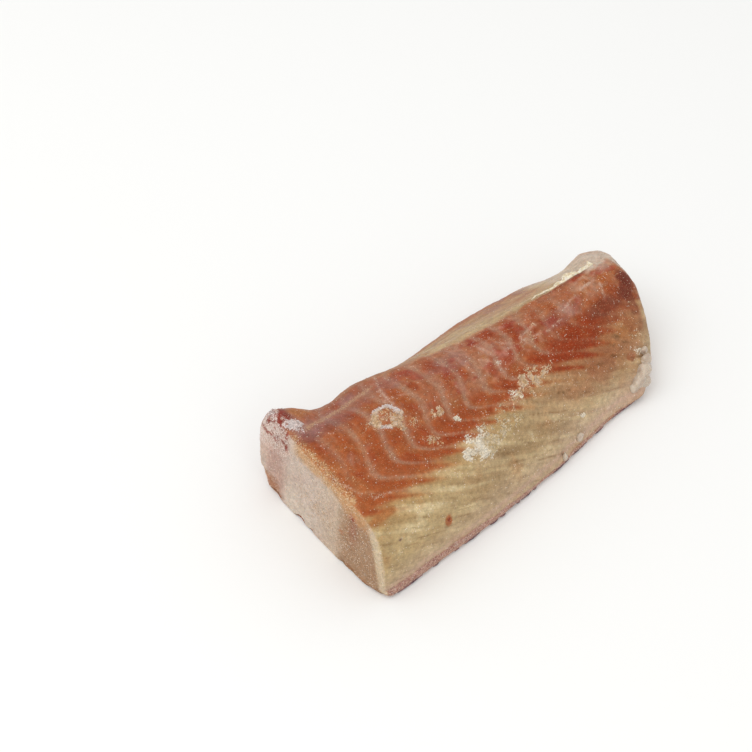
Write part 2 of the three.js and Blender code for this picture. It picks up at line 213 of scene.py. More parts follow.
def rough(p, size, seed, octaves=3):
    """Noise with finer noise on it; each seed gives another pattern."""
    total, weight, weights = 0.0, 1.0, 0.0
    for n in range(octaves):
        total = total + weight * noise(p, np.asarray(size, float) / 2 ** n, seed + 11 * n)
        weights += weight
        weight *= 0.55
    return total / weights


def bell(t):
    return np.exp(-t * t)


def rise(value, start, end):
    """0 before start, 1 after end."""
    return ease((value - start) / (end - start))


def along(points, x):
    """A line through (x, value) points."""
    return np.interp(x, *zip(*points))


def soft_over(value, start, soft=1.6):
    """How far a value lies over a start, turning smoothly."""
    d = value - start
    return 0.5 * (d + np.sqrt(d * d + soft * soft))


def blend(colour, other, amount):
    return colour + (np.asarray(other) - colour) * np.clip(amount, 0, 1)[:, None]


def spot(u, v, centre, radius, p, ragged, seed, stretch=(1, 1)):
    """1 inside a spot that is ragged by some parts of its radius, 0 outside."""
    d = np.hypot((u - centre[0]) / stretch[0], (v - centre[1]) / stretch[1]) / radius
    d = d + ragged * rough(p, max(radius * 0.6, 0.8), seed)
    return ease((1.25 - d) / 0.5)


def line_distance(u, v, points):
    """Distance from a line of points."""
    best = np.full(u.shape, np.inf)
    for (u0, v0), (u1, v1) in zip(points[:-1], points[1:]):
        du, dv = u1 - u0, v1 - v0
        t = np.clip(((u - u0) * du + (v - v0) * dv) / (du * du + dv * dv), 0, 1)
        best = np.minimum(best, np.hypot(u - u0 - t * du, v - v0 - t * dv))
    return best


# ---- where things are on the loin ------------------------------------------------------------

SEGMENT = 7.8                    # from one sheet between the muscle segments to the next
FIRST_SHEET = 3.9                # where the first sheet bends, along
SHEET_BEND = 18                  # where the sheets bend on the top, across
TOP_SLANTS = (0.55, 10, 0.1)     # how far the sheets run along for each mm up the top: at first,
                                 # for how many mm, and then
FACE_SLANTS = (1.5, 23, 2.1)     # and for each mm down the back face
# Where the red of the top ends, as (x, across).
RED_EDGE = [
    (-3, 10.8), (6, 10.5), (14, 9.6), (24, 9.0), (34, 9.2), (44, 9.8), (54, 9.8), (62, 8.8),
    (72, 8.6), (80, 9.6), (86, 8.4), (94, 5.0), (104, 4.2), (112, 7.0), (120, 9.5), (140, 12.0),
]
# Top of the thin layer under the flesh, as (x, z).
LAYER_TOP = [(0, 3.7), (30, 3.5), (50, 2.8), (68, 2.0), (78, 2.6), (92, 2.4), (110, 1.6)]
# Where the pale rim of the saw cut starts at the back edge, as (z, y).
CUT_RIM = [(0, -0.3), (7.7, 0.8), (18.2, 3.2), (24.2, 6.4), (26.1, 11.4), (28.5, 30)]
# Pale veins: (x, across) points, width and strength.
VEINS = [
    ([(33, 29), (34.5, 33), (35.5, 38), (38, 43), (41, 46)], 0.6, 0.6),
    ([(33.5, 35.5), (37, 34.5), (41, 33.0)], 0.45, 0.5),
    ([(10, 39), (14, 37.5), (19, 37)], 0.45, 0.55),
    ([(66, 25.8), (72, 25.0), (80, 25.4), (88, 26.5)], 0.45, 0.5),
    ([(124, 30.8), (120.2, 28.1), (118, 26.7)], 0.5, 0.9),
    ([(118, 26.7), (113.2, 26.8), (106.7, 26.2), (101.7, 24.8)], 0.45, 0.6),
    ([(118, 26.7), (118.5, 24.2), (117.6, 22.1), (116.3, 18.6)], 0.45, 0.65),
    ([(84.6, 23.8), (80, 25), (76, 28), (75, 32)], 0.7, 0.6),
    ([(84.6, 23.8), (92, 22.5), (98, 23)], 0.5, 0.5),
    ([(3.5, 28), (5.1, 21.4), (5.8, 17), (8, 13.8), (13, 12)], 0.55, 0.6),
    ([(69, 20), (69.8, 24), (70, 28), (69.4, 33)], 0.7, 0.5),
]
# Frost: (x, across), radius, how solid, colour.
FROST = [
    ((29.6, 30.4), 5.6, 0.85, "rime"), ((29.8, 30.2), 3.6, 0.42, "cream"),
    ((30.4, 26.2), 3.2, 0.55, "cream"), ((33.6, 24.6), 3.2, 0.36, "cream"),
    ((34.6, 17.0), 2.8, 0.42, "cream"), ((35.8, 15.0), 2.2, 0.5, "cream"),
    ((41.3, 22.4), 2.4, 0.58, "cream"), ((45.2, 17.7), 1.2, 0.9, "frost"),
    ((45.6, 2.6), 4.6, 1.0, "frost"), ((42.0, 3.8), 3.6, 0.95, "frost"),
    ((48.8, 1.6), 3.8, 0.95, "frost"), ((46.6, 6.8), 5.0, 0.84, "frost"),
    ((52.0, 3.4), 5.4, 0.62, "haze"), ((56.0, 5.4), 5.4, 0.56, "haze"),
    ((60.6, 7.2), 4.6, 0.48, "haze"), ((62.0, 2.0), 4.0, 0.40, "haze"),
    ((66.4, 9.6), 3.8, 0.60, "frost"), ((63.6, 8.6), 3.4, 0.46, "cream"),
    ((70.1, 11.6), 3.2, 0.5, "frost_tan"), ((76.6, 12.8), 5.6, 0.74, "frost_tan"),
    ((81.2, 11.6), 3.4, 0.55, "frost_tan"), ((73.8, 7.4), 3.2, 0.52, "frost_tan"),
    ((25.5, 31.0), 2.6, 0.5, "frost_tan"), ((8.2, 47.2), 2.4, 1.0, "rime"),
    ((4.0, 48.0), 2.4, 0.5, "rime"), ((6.6, 56.0), 3.6, 0.5, "rime"),
    ((84.6, 24.0), 1.6, 0.42, "frost_tan"), ((89.0, 26.4), 1.2, 0.4, "frost_tan"),
    ((69.8, 23.4), 1.8, 0.34, "frost"), ((81.0, -22.0), 1.6, 0.8, "frost"),
    ((85.0, -15.5), 0.8, 0.7, "frost"), ((116.0, -8.5), 3.0, 0.55, "frost"),
    ((119.0, -2.0), 3.0, 0.45, "frost_tan"), ((117.0, 6.0), 6.0, 0.34, "cream"),
    ((121.0, 10.0), 5.0, 0.32, "cream"),
]
RING_OF_FROST = (29.6, 30.4)     # this patch is a ring, thin in its middle
RING_RADIUS = 0.70               # of that ring, in parts of the patch
# Stains: (x, across), radius, stretch along and across, strength, colour.
STAINS = [
    ((25.0, -12.8), 1.7, (0.9, 1.4), 0.75, "rust"), ((25.2, -12.6), 0.8, (0.8, 1.4), 0.6, "blood"),
    ((7.0, -5.0), 0.55, (1, 1), 0.75, "dark_spots_and_foot_shade"), ((7.5, 13.2), 2.4, (2.6, 0.9), 0.65, "rust"),
    ((6.0, 7.2), 2.2, (2.0, 0.9), 0.7, "orange"), ((127.0, 20.5), 3.2, (0.8, 1.2), 0.95, "bruise_and_fold_shadow"),
    ((124.2, 16.4), 3.4, (0.9, 1.1), 0.85, "bruise_and_fold_shadow"),
    ((123.4, 10.0), 3.0, (0.6, 2.0), 0.6, "bruise_and_fold_shadow"),
    ((114.5, 15.5), 4.6, (1.6, 0.8), 0.45, "bruise_and_fold_shadow"),
    ((116.5, 1.5), 3.6, (1.2, 1.2), 0.5, "orange"), ((99.0, 23.5), 4.5, (1.8, 0.7), 0.3, "mauve"),
    ((121.0, 5.0), 5.0, (0.9, 1.6), 0.5, "brown"), ((101.0, -4.0), 5.0, (1.2, 1.5), 0.3, "brown"),
    ((101.0, 14.0), 5.0, (2.0, 0.6), 0.5, "deep"), ((112.5, -9.0), 1.3, (1.2, 1.6), 0.6, "brown"),
    ((7.0, 43.5), 1.8, (1.3, 1.0), 0.8, "blood"), ((5.4, 51.4), 2.4, (1.0, 1.0), 0.6, "blood"),
    ((9.0, 41.2), 2.2, (1.5, 0.8), 0.5, "violet"), ((15.0, 40.5), 3.4, (2.4, 0.6), 0.4, "violet"),
    ((22.0, 50.0), 3.0, (2.0, 1.0), 0.5, "rust"), ((58.5, 33.5), 5.0, (1.4, 0.8), 0.3, "mauve"),
    ((40.5, 41.0), 3.0, (1.2, 1.2), 0.35, "mauve"), ((44.0, 34.0), 1.6, (0.8, 1.4), 0.5, "deep"),
    ((88.0, 12.0), 3.5, (1.8, 0.9), 0.4, "deep"),
]
# Dark marks along the fibres: (x, across), half length, half width, strength.
DARK_MARKS = [
    ((111.7, 2.4), 2.6, 0.8, 0.7), ((106.7, -3.7), 3.0, 0.8, 0.75), ((100.7, -2.8), 3.4, 0.7, 0.6),
    ((108.5, 0.4), 2.4, 0.6, 0.5), ((113.0, -1.6), 2.2, 0.6, 0.5), ((96.5, -1.2), 2.6, 0.6, 0.4),
    ((81.5, -1.0), 2.4, 0.8, 0.6), ((84.5, -2.4), 1.2, 0.5, 0.5), ((52.0, -6.0), 2.6, 0.5, 0.35),
    ((62.0, -9.0), 3.0, 0.5, 0.35), ((33.0, -3.0), 2.6, 0.5, 0.3), ((90.0, -8.0), 2.6, 0.5, 0.4),
]
FIBRE_COURSE = (0.76, -0.65)     # the way that the fibres run on the back face, along and across


def cut_face(p):
    """Where the saw cut lies, along the loin."""
    lean = CUT_LEAN * (1 - ease(p[:, 2] / THICKNESS))
    return CUT_SLANT * p[:, 1] - lean * (1 - np.exp(-(p[:, 1] + 1) / 4))


def slanting(way, slants):
    """How far along a sheet runs over some way, at one slant first and then at another."""
    first, reach, then = slants
    return first * np.minimum(way, reach) + then * np.maximum(0, way - reach)


def segment_phase(p):
    """How far along the row of muscle segments a point lies; whole numbers are on a sheet.

    The sheets run slanting over the top, bend behind the shoulder and then run far along the
    back face, as the solid's grooves do.
    """
    up = soft_over(p[:, 1], SHEET_BEND)
    drop = soft_over(-p[:, 1], -SHEET_BEND) + 0.8 * np.maximum(0, SHOULDER_Z - p[:, 2])
    bent = p[:, 0] - FIRST_SHEET - slanting(up, TOP_SLANTS) - slanting(drop, FACE_SLANTS)
    return (bent + 0.8 * noise(p, 9, 31)) / SEGMENT


class Surface:
    """Points of the loin's surface with what the colours and the relief need to know of them."""

    def __init__(self, p, normal):
        self.p, self.n = p, normal
        self.x, self.y, self.z = p.T
        self.across = self.y - np.maximum(0, SHOULDER_Z - self.z)
        phase = segment_phase(p)
        self.part = phase - np.floor(phase)
        self.from_sheet = np.minimum(self.part, 1 - self.part) * SEGMENT
        self.from_cut = self.x - cut_face(p)
        self.fibre = np.stack([phase * SEGMENT, (self.x + self.across) * 0.3, self.z * 0.15], 1)
        self.streak = rough(self.fibre, (1.5, 2.6, 2), 71, 2)
        self.band = rough(self.fibre, (3.2, 2.4, 2), 72)
        self.soft_band = rough(self.fibre, (5.5, 2.6, 3), 73)
        self.blotch = rough(p, 9, 81)
        self.small_blotch = rough(p, 4, 82)
        self.fleck = rough(p, 1.9, 83, 2)
        self.speckle = rough(p, 1.1, 101, 2)
        reach = 3.6 + 3.4 * bell((self.x - 97) / 14)
        tongue = reach * (bell((self.part - 0.55) / 0.27) - 0.42)
        ragged = 1.5 * self.small_blotch + 1.3 * self.streak + 0.8 * self.fleck
        self.red_edge = along(RED_EDGE, self.x) - tongue + ragged
        self.on_left = rise(normal[:, 1], 0.30, 0.55) * rise(self.z, 29.0, 26.0) * rise(self.x, 128, 122)
        self.on_cut = rise(-normal[:, 0], 0.55, 0.85) * rise(self.from_cut, 2.2, 0.8)
        self.rim = (bell((self.from_cut - 0.8) / (2.4 + 1.2 * self.small_blotch))
                    * rise(self.across, 12, 18) * rise(self.across, 48, 43))
        layer_top = along(LAYER_TOP, self.x) + 0.4 * rough(p, 3, 121)
        self.layer = rise(self.z, layer_top + 0.4, layer_top - 0.4) * rise(self.from_cut, 0.4, 1.2)
        self.sheets = self._sheets()
        self.cracks = (rise(rough(p, (1.6, 1.6, 1.2), 88, 2), 0.08, 0.30) * rise(self.x, 12, 8)
                       * rise(self.y, 44, 47) * rise(self.z, 21, 24))
        self.thin_lines = (bell(self.from_sheet / 0.5) * rise(rough(p, 5, 91), -0.1, 0.5)
                           * rise(-self.across, -8, -3) * rise(-self.across, 25, 16))
        self.frost = np.zeros(len(p))
        self.dust = np.zeros(len(p))
        self.dust_tone = np.zeros((len(p), 3))

    def _sheets(self):
        """How much the sheets between the segments show: broad on the top, thin past their bend."""
        broad = rise(self.y, SHEET_BEND - 4, SHEET_BEND + 3)
        wide = 0.72 + 0.50 * broad + 0.5 * rough(self.p, 5, 94)
        strength = 0.95 + 0.55 * rough(self.p, 4, 92) + 0.35 * rough(self.p, 1.2, 99)
        patchy = rise(rough(self.p, 6, 95), 0.05, 0.35)
        beside = 0.4 * bell((self.from_sheet - 2.8) / 0.5) * patchy * broad
        on_red = rise(self.across, self.red_edge - 3, self.red_edge + 2) * (1 - 0.7 * self.on_left)
        shown = on_red * rise(self.from_cut, 3, 9) * (1 - 0.5 * rise(self.x, 86, 98))
        line = bell((self.from_sheet + 0.35 * self.speckle) / wide)
        return np.clip((line + beside) * strength, 0, 1) * shown * (1 - self.on_cut)

    def sprinkle(self, tone, amount):
        """Adds pale grains of a tone to those that lie here."""
        amount = np.clip(amount, 0, 1)
        self.dust_tone = blend(self.dust_tone, tone, amount / np.maximum(self.dust + amount, 1e-6))
        self.dust = np.maximum(self.dust, amount)


# ---- colours ---------------------------------------------------------------------------------

def plain(surface, colour):
    return np.tile(np.array(colour), (len(surface.x), 1))


def beige_flesh(f, t):
    """The back face: pale flesh with the fibres of the segments running along it."""
    low = -f.across
    col = plain(f, t.beige)
    col = blend(col, t.olive, 0.8 * rise(f.across, -4, 4) * rise(f.x, 70, 50))
    col = blend(col, t.beige_mid, 0.9 * bell((f.x - 50) / 16) * rise(low, -2, 4))
    col = blend(col, t.beige_far, rise(f.x, 55, 80))
    col = blend(col, t.beige_low, 0.8 * rise(low, 11, 20))
    shown = rise(low, 26, 16)
    light = 0.60 * rise(f.soft_band, -0.05, 0.4) + 0.20 * rise(f.band, 0.1, 0.5)
    col = blend(col, t.fibre_light, light * shown)
    dark = 0.20 * rise(-f.soft_band, 0.05, 0.45) + 0.10 * rise(-f.band, 0.1, 0.5)
    col = blend(col, t.fibre_dark, dark * shown)
    col = blend(col, t.fibre_dark, 0.16 * rise(-f.small_blotch, 0.05, 0.4) * shown)
    col = blend(col, t.fibre_dark, 0.62 * rise(f.streak, 0.28, 0.5) * rise(f.small_blotch, -0.1, 0.3))
    pale = rise(f.small_blotch + 0.6 * f.soft_band, 0.2, 0.55) * (0.6 + 0.6 * bell((f.across + 1) / 6))
    col = blend(col, t.milky, 0.40 * pale)
    col = blend(col, t.fibre_dark, 0.7 * f.thin_lines)
    reddened = 0.28 * rise(f.blotch, 0.05, 0.5) + 0.18 * rise(f.x, 64, 80) * rise(low, 12, 2)
    col = blend(col, t.orange, reddened)
    browned = 0.85 * rise(f.x, 76, 92) * rise(f.x, 124, 114) * rise(low, 16, 4)
    col = blend(col, t.brown_halo, browned * (0.8 + 0.7 * f.small_blotch))
    return blend(col, t.pink, 0.35 * rise(low, 12, 22) * rise(f.x, 60, 110))


def red_flesh(f, t):
    """The top: red muscle, deeper towards the far end and the shoulder."""
    col = plain(f, t.rust)
    deep = 0.9 * rise(f.x, 78, 90) * rise(f.across, 21.5, 14)
    deep = deep + 0.35 * bell((f.across - 15) / 6) * rise(f.x, 20, 50)
    deep = deep + 0.5 * rise(f.band, 0.05, 0.5) + 0.25 * bell((f.part - 0.62) / 0.2)
    col = blend(col, t.deep, deep)
    haze = rise(f.x, 36, 56) * rise(f.x, 116, 100) * rise(f.across, 18, 25)
    pale = (0.08 + 0.68 * haze) * (0.85 + 1.1 * f.blotch) + 0.25 * rise(-f.band, 0.1, 0.6)
    col = blend(col, t.rosy, pale)
    faded = 0.35 * rise(f.small_blotch, 0.1, 0.5) + 0.4 * rise(f.x, 104, 116) * rise(f.across, 20, 26)
    col = blend(col, t.orange, faded)
    col = blend(col, t.mauve, 0.30 * rise(f.fleck, 0.15, 0.5) * rise(f.across, 18, 30))
    net = bell(rough(f.p, (6, 5, 5), 84) / 0.09) * rise(f.small_blotch, -0.3, 0.2)
    col = blend(col, t.pink, 0.42 * net * rise(f.x, 52, 70) * rise(f.across, 15, 24))
    dark = 0.8 * rise(-f.blotch, 0.12, 0.5) * rise(f.x, 40, 60) * rise(f.across, 42, 36)
    col = blend(col, t.deep, dark)
    wine = rise(rough(f.p, (6, 4, 4), 86), 0.12, 0.42) * rise(f.x, 34, 52) * rise(f.across, 19, 25)
    col = blend(col, t.wine, 0.65 * wine)
    veil = rise(rough(f.p, (3.4, 5, 4), 87), 0.08, 0.42) * rise(f.x, 40, 60) * rise(f.across, 18, 24)
    col = blend(col, t.pink, 0.34 * veil * rise(f.x, 122, 112))
    col = blend(col, t.rust, 0.55 * bell((f.x - 97) / 10) * rise(f.across, 25, 29))
    return blend(col, t.brown, 0.7 * rise(f.x, 102, 114) * rise(f.across, 24, 16))


def skinned_side(f, t):
    """Both kinds of flesh, in tongues between the segments, with the sheets and veins."""
    halo = rise(f.across, f.red_edge - 7.0, f.red_edge) * (0.35 + 0.65 * bell((f.part - 0.55) / 0.3))
    red = rise(f.across, f.red_edge - 2.8, f.red_edge + 2.4)
    col = blend(beige_flesh(f, t), t.orange, 0.65 * halo)
    col = blend(col, red_flesh(f, t), red)
    col = blend(col, t.septum_grey, 0.75 * f.sheets)
    f.sprinkle(t.cream, (0.14 + 0.06 * f.small_blotch) * (1 - 0.7 * f.on_left))
    f.sprinkle(t.septum, (0.10 + 0.14 * f.sheets) * (1 - 0.7 * f.on_left))
    for points, width, amount in VEINS:
        d = line_distance(f.x, f.across, points) + 0.35 * rough(f.p, 2.5, 97)
        broken = rise(rough(f.p, 1.6, 98), -0.45, 0.25)
        line = amount * bell(d / width) * broken
        col = blend(col, t.pink, 0.8 * line)
        f.sprinkle(t.pink, 0.8 * line)
    along_fibre, aside = FIBRE_COURSE
    for centre, half, width, amount in DARK_MARKS:
        dx, ds = f.x - centre[0], f.across - centre[1] + 0.5 * f.fleck
        d = np.hypot((dx * along_fibre + ds * aside) / half, (ds * along_fibre - dx * aside) / width)
        col = blend(col, t.olive_dark, amount * ease(1.3 - d) * rise(f.speckle, -0.6, 0.1))
    for centre, radius, stretch, amount, name in STAINS:
        here = spot(f.x, f.across, centre, radius, f.p, 0.35, 6, stretch)
        col = blend(col, getattr(t, name), amount * here)
    return col


def ridge_colours(f, col, t):
    """Remains of skin beside the ridge, the lump at the saw cut and the pale far knob."""
    mauve = bell((f.across - 44.0) / 4.0) * rise(f.x, 46, 28) * rise(f.x, 4, 8)
    col = blend(col, t.mauve, 0.95 * mauve * (0.85 + 0.9 * f.small_blotch))
    lateral = bell((f.y - LATERAL_Y - 0.8 * f.small_blotch) / 1.1) * rise(f.x, 40, 34) * rise(f.x, 8, 12)
    col = blend(col, t.septum_grey, 0.6 * lateral)
    f.sprinkle(t.septum, 0.5 * lateral)
    lump = rise(f.across, 47, 50) * rise(f.x, 22, 16)
    col = blend(col, t.rosy, 0.5 * lump)
    col = blend(col, t.mauve, 0.65 * lump * rise(f.x, 13, 8))
    col = blend(col, t.violet, 0.6 * lump * rise(f.x, 13, 9) * rise(rough(f.p, 2.4, 89, 2), 0.0, 0.3))
    col = blend(col, t.blood, 0.85 * f.cracks)
    f.sprinkle(t.rime, 0.46 * lump * rise(f.x, 12, 8) * (1 - f.cracks))
    col = blend(col, t.orange, 0.6 * spot(f.x, f.across, (15, 51.5), 3, f.p, 0.3, 7, (1.4, 1)))
    ridge = bell((f.y - along(RIDGE_LINE, f.x)) / 2.0)
    col = blend(col, t.septum, 0.45 * ridge * rise(f.x, 30, 44) * rise(f.x, 66, 56) * (0.8 + f.fleck))
    col = blend(col, t.ochre, 0.62 * f.rim * (0.8 + 0.8 * f.fleck))
    f.sprinkle(t.cream, 0.46 * f.rim * (0.9 + 0.8 * f.fleck) * (1 - f.on_cut))
    knob = rise(f.x - 1.5 * f.small_blotch, 117.5, 121.5) * rise(f.across - f.fleck, 28.0, 32.0)
    knob = np.maximum(knob, rise(f.x, 128.5, 131) * rise(f.across, 19, 25))
    knob = np.maximum(knob, 0.5 * rise(f.x, 120, 124) * rise(f.across, 25.5, 28.5))
    col = blend(col, t.pale_rim, np.minimum(1, 1.15 * knob) * (0.95 + 0.3 * f.small_blotch))
    beside = bell((f.y - along(RIDGE_LINE, f.x)) / 0.9) * rise(f.x, 52, 62) * rise(f.x, 124, 116)
    fold = bell((f.y - along(FOLD_LINE, f.x)) / 0.8) * rise(f.x, 98, 102) * rise(f.x, 126, 122)
    # Painted shadow: a dark line just under the fold of membrane, in the bruise colour.
    below = bell((f.y - along(FOLD_LINE, f.x) + 1.1) / 0.5) * rise(f.x, 98, 102) * rise(f.x, 122, 119)
    col = blend(col, t.bruise_and_fold_shadow, 0.55 * below)
    f.sprinkle(t.cream, 0.3 * fold)
    return blend(col, t.membrane, np.maximum(0.45 * beside, 0.85 * fold * (1 + 0.4 * f.speckle)))


def left_side(f, t):
    """The left side: pale flesh, brown near the saw cut and rusty at its foot."""
    long_streak = rough(f.p, (15, 3, 1.7), 111)
    cloud = rough(f.p, (9, 4, 4), 112)
    wide_cloud = rough(f.p, (16, 9, 7), 114)
    col = blend(plain(f, t.strip), t.fibre_light, 0.5 * rise(long_streak, 0.05, 0.5))
    col = blend(col, t.fibre_dark, 0.4 * rise(-long_streak, 0.05, 0.5))
    rusty = 0.9 * rise(f.z + 2.5 * cloud, 13.0, 6.0) + 0.35 * rise(cloud, 0.1, 0.5)
    rusty = rusty + 0.4 * rise(f.x, 80, 92) * rise(f.x, 116, 108) * rise(f.z, 25, 20)
    col = blend(col, t.rust_line, rusty)
    brown = rise(f.x + 16 * wide_cloud + 8 * cloud + 7 * long_streak, 74, 22)
    col = blend(col, t.brown_left, 0.95 * brown)
    col = blend(col, t.septum_grey, 0.35 * bell(f.from_sheet / 0.8) * rise(f.small_blotch, -0.3, 0.3))
    col = blend(col, t.mauve, 0.6 * rise(rough(f.p, 5, 113), 0.1, 0.4) * rise(f.z, 22, 8))
    return blend(col, t.pale_rim, 0.75 * rise(f.x + 4 * cloud, 110, 119))


def far_end(f, t):
    """The torn far end: pale flesh in flakes, pinker and browner in places."""
    flake = rough(f.p, (6, 2.4, 5), 116)
    col = blend(plain(f, t.pale_rim), t.cut_blotch, 0.7 * rise(f.small_blotch, 0.0, 0.4))
    col = blend(col, t.strip, 0.6 * rise(flake, 0.05, 0.4))
    col = blend(col, t.tan, 0.5 * bell(flake / 0.07))
    return blend(col, t.orange, 0.45 * rise(f.blotch, 0.0, 0.5) * rise(f.z, 20, 12))


def thin_layer(f, t):
    """The layer under the flesh, mauve with grains of frost and with dark spots along its foot that are
    painted shade.
    """
    # Painted shade: dark spots along the very foot of the layer.
    dark = rise(rough(f.p, (5, 5, 1.2), 122), -0.05, 0.2) * rise(f.z, 1.6, 0.7)
    rusty = 0.7 * rise(f.x, 62, 72) * rise(f.small_blotch, -0.4, 0.2)
    col = blend(plain(f, t.layer), t.rust_line, rusty)
    col = blend(col, t.dark_spots_and_foot_shade, 0.9 * dark)
    return blend(col, t.pink, 0.4 * rise(f.fleck, 0.1, 0.4))


def sawn_face(f, t):
    """The saw cut: pale flesh, a tan translucent part at the back edge and a pink left rim."""
    inside = f.y - along(CUT_RIM, f.z)
    col = blend(plain(f, t.cut), t.cut_low, rise(f.z, 16, 3) * rise(f.y, 24, 42))
    col = blend(col, t.beige_low, 0.5 * rise(f.y, 34, 22))
    col = blend(col, t.cut_blotch, 0.18 * rise(rough(f.p, 6, 137), 0.0, 0.5))
    panel = rise(inside, 1.8, 3.6) * rise(f.y + 1.2 * rough(f.p, 6, 131), 22.5, 18) * rise(f.z, 26, 21)
    col = blend(col, t.tan, panel * (0.95 + 0.25 * f.small_blotch))
    col = blend(col, t.fibre_light, 0.75 * rise(inside, 3.4, 1.8) * rise(f.z, 26, 20))
    col = blend(col, t.pale_rim, 0.35 * bell((inside - 1.2 - 0.5 * f.fleck) / 1.0))
    seam = 0.30 * bell((f.y - 14.8 - 0.8 * rough(f.p, 4, 132)) / 1.8) * bell((f.z - 18) / 5)
    col = blend(col, t.blood, seam + 0.7 * spot(f.y, f.z, (15.4, 22.6), 1.2, f.p, 0.4, 8))
    stain = 0.7 * spot(f.y, f.z, (19.5, 13.5), 1.0, f.p, 0.3, 9)
    stain = stain + 0.6 * rise(f.z, 2.6, 0.8) * rise(f.y, 22, 10)
    col = blend(col, t.rust_line, stain)
    blotches = rise(f.y + 2.5 * rough(f.p, 7, 133), 43.5, 48.5) * rise(f.y, 56, 53)
    col = blend(col, t.cut_blotch, 0.6 * blotches)
    dark = rise(f.y, 44, 48) * rise(f.z, 21, 25) * rise(rough(f.p, 2.2, 134), -0.1, 0.35)
    col = blend(col, t.violet, 0.7 * dark)
    col = blend(col, t.blood, 0.85 * f.cracks)
    low_corner = rise(f.y, 47, 51) * rise(f.z, 9, 5) * rise(rough(f.p, 3, 135), -0.5, 0.1)
    col = blend(col, t.rust_line, 0.7 * low_corner)
    col = blend(col, t.pink, 0.5 * rise(f.y, 52, 55) * rise(f.z, 10, 16) * rise(f.z, 26, 22))
    height = f.z + 0.8 * f.fleck + 3 * rise(f.y, 26, 16)
    top = rise(height, 23.5, 26.5) * rise(f.y, 45, 39) * rise(f.y, 7, 12)
    return blend(col, t.ochre, 0.75 * top)


def dust_of_the_cut(f, t):
    """Fine frost on the saw cut, its rim and the thin layer."""
    top = rise(f.z, 22.5, 26.5)
    f.sprinkle(t.crystal, f.on_cut * (0.10 + 0.10 * rise(f.z, 12, 22)))
    f.sprinkle(t.rime, 0.38 * f.on_cut * rise(f.y, 43, 47) * rise(f.z, 14, 20) * (1 - f.cracks))
    f.sprinkle(t.cream, 0.36 * f.on_cut * top * rise(f.y, 46, 40))
    f.sprinkle(t.pink, 0.42 * f.layer)
    f.sprinkle(t.pink, 0.30 * bell((f.z - 4.4) / 1.8) * rise(f.n[:, 1], -0.1, -0.35))


def frosted(f, col, t):
    """Patches of frost over everything; keeps how thick they are in f.frost."""
    ragged = 0.6 * rough(f.p, 3.6, 141) + 0.45 * f.fleck
    clumps = 0.30 + 0.70 * rise(rough(f.p, 1.5, 142, 2), -0.42, 0.22)
    bare = f.on_left + f.on_cut
    for centre, radius, amount, name in FROST:
        out = np.hypot(f.x - centre[0], f.across - centre[1]) / radius
        here = amount * ease((1.3 - out - ragged) / 1.0) * (1 - np.minimum(1, bare))
        here = here * np.maximum(clumps, rise(here, 0.7, 0.95))
        if centre == RING_OF_FROST:
            wobble = 0.16 * f.fleck + 0.10 * f.small_blotch
            round_it = bell((out - RING_RADIUS + wobble) / 0.15) * (0.25 + 0.60 * clumps)
            here = np.maximum(0.12 * here, round_it * (1 - np.minimum(1, bare)))
        tone_here = getattr(t, name)
        col = blend(col, tone_here, 0.42 * here)
        f.dust_tone = blend(f.dust_tone, tone_here, rise(here, 0.0, 0.3))
        f.frost = np.maximum(f.frost, here)
    f.dust = np.maximum(f.dust, 0.66 * f.frost)
    return col


def loin_colours(f, t):
    col = ridge_colours(f, skinned_side(f, t), t)
    col = blend(col, left_side(f, t), f.on_left)
    back_edge = rise(f.n[:, 1], -0.1, -0.35)
    col = blend(col, t.pink, 0.45 * bell((f.z - 4.7 - 0.4 * f.speckle) / 0.9) * back_edge)
    col = blend(col, thin_layer(f, t), f.layer)
    end = rise(f.n[:, 0], 0.5, 0.8) * rise(f.z, 2, 4)
    col = blend(col, far_end(f, t), 0.85 * end)
    col = blend(col, sawn_face(f, t), f.on_cut)
    dust_of_the_cut(f, t)
    col = frosted(f, col, t)
    return np.clip(col * (1 + 0.05 * f.speckle[:, None]), 0, 1)


def as_light(seen):
    """Seen colour values as light values."""
    return np.where(seen <= 0.04045, seen / 12.92, ((seen + 0.055) / 1.055) ** 2.4)


def as_flesh(seen):
    """The flesh's own colour, which looks like the seen one under the stage's lights."""
    return np.clip((as_light(seen) - GLOSS_LIGHT) / EVEN_LIGHT, *FLESH_RANGE)


# ---- meshes ----------------------------------------------------------------------------------

def to_loin(points):
    """Blender's metres as millimetres from the foot of the saw cut."""
    return (np.asarray(points) - np.array(FOOT)) / MM


def from_loin(points):
    return np.asarray(points) * MM + np.array(FOOT)


def mesh_of(shape, name):
    """The mesh of a finished bmesh, which is freed."""
    mesh = bpy.data.meshes.new(name)
    shape.to_mesh(mesh)
    shape.free()
    return mesh


def add_object(name, mesh):
    piece = bpy.data.objects.new(name, mesh)
    bpy.context.scene.collection.objects.link(piece)
    return piece


def finish_piece(piece, material, smooth=True):
    """Gives a piece its material and makes it part of the loin."""
    piece.data.materials.append(material)
    for polygon in piece.data.polygons:
        polygon.use_smooth = smooth
    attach(piece, "root")
    return piece


def rows_of(source, field, width=3):
    """A field of every vertex as rows of numbers."""
    values = np.empty(len(source) * width)
    source.foreach_get(field, values)
    return values.reshape(-1, width)


def places_of(mesh):
    return rows_of(mesh.vertices, "co")


def normals_of(mesh):
    return rows_of(mesh.vertex_normals, "vector")


def keep_in_box(points):
    return np.clip(points, np.array(LOW), np.array(HIGH))


def move_points(mesh, points):
    """Moves all of a mesh's vertices, inside the solid's box."""
    mesh.vertices.foreach_set("co", keep_in_box(points).ravel())
    mesh.update()


def move_vertices(vertices, places):
    """Moves vertices of a bmesh to places in millimetres from the foot, inside the box."""
    for vertex, place in zip(vertices, keep_in_box(from_loin(places))):
        vertex.co = place


